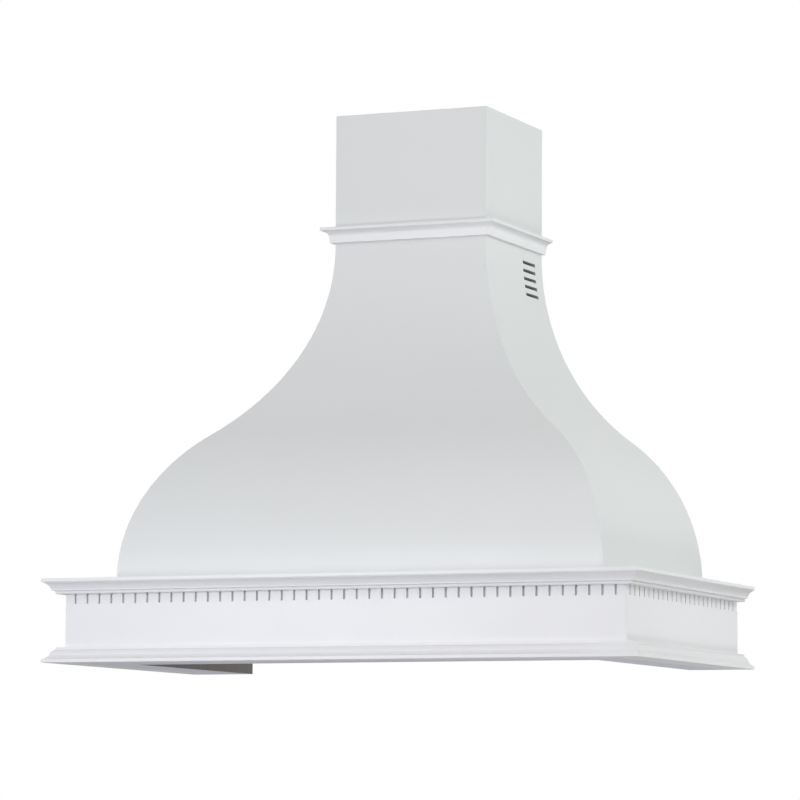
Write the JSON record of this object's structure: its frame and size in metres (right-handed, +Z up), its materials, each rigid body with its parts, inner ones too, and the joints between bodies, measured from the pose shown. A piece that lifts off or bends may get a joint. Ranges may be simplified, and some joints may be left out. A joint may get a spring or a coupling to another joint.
{
  "type": "range hood cover",
  "caption": "Painted wooden range hood cover: ogee bell on a moulded band with a row of saw kerfs, plain chimney above, open at the back and below.",
  "frame": {"origin": "middle of the footprint, level with the underside", "axes": "+X to the right of someone facing the hood, -Y out from the wall towards the room, +Z up; the wall is the plane y = 0.2525"},
  "size_m": [0.916, 0.505, 0.822],
  "materials": {
    "painted_trim": "smooth satin white paint on poplar and MDF mouldings",
    "painted_panel": "smooth satin white paint on bending plywood and MDF",
    "painted_board": "satin white paint, cut edges bare",
    "birch_plywood": "bare birch plywood, sanded",
    "softwood": "bare planed softwood",
    "zinc_steel": "zinc-plated screws"
  },
  "bodies": {
    "root": {"base_moulding_front": "painted_trim", "base_moulding_left": "painted_trim", "base_moulding_right": "painted_trim", "bell_front": "painted_panel", "bell_left": "painted_panel", "bell_right": "painted_panel", "chimney_batten_left": "softwood", "chimney_batten_right": "softwood", "chimney_front": "painted_panel", "chimney_left": "painted_panel", "chimney_rail": "softwood", "chimney_right": "painted_panel", "collar_moulding_front": "painted_trim", "collar_moulding_left": "painted_trim", "collar_moulding_right": "painted_trim", "corner_block_left": "softwood", "corner_block_right": "softwood", "duct_board": "birch_plywood", "duct_board_screws": "zinc_steel", "frieze_front": "painted_trim", "frieze_left": "painted_trim", "frieze_right": "painted_trim", "front_jack_rib_left": "birch_plywood", "front_jack_rib_right": "birch_plywood", "front_rib_left": "birch_plywood", "front_rib_right": "birch_plywood", "hip_batten_left": "softwood", "hip_batten_right": "softwood", "lower_wall_rail": "softwood", "rear_rib_left": "birch_plywood", "rear_rib_right": "birch_plywood", "shelf_crown_front": "painted_trim", "shelf_crown_left": "painted_trim", "shelf_crown_right": "painted_trim", "shelf_deck": "painted_board", "side_jack_rib_left": "birch_plywood", "side_jack_rib_right": "birch_plywood", "side_rib_left": "birch_plywood", "side_rib_right": "birch_plywood", "sole_front": "softwood", "sole_left": "softwood", "sole_right": "softwood", "sole_screws": "zinc_steel", "underside_board": "painted_board", "upper_wall_rail": "softwood"}
  },
  "joints": []
}
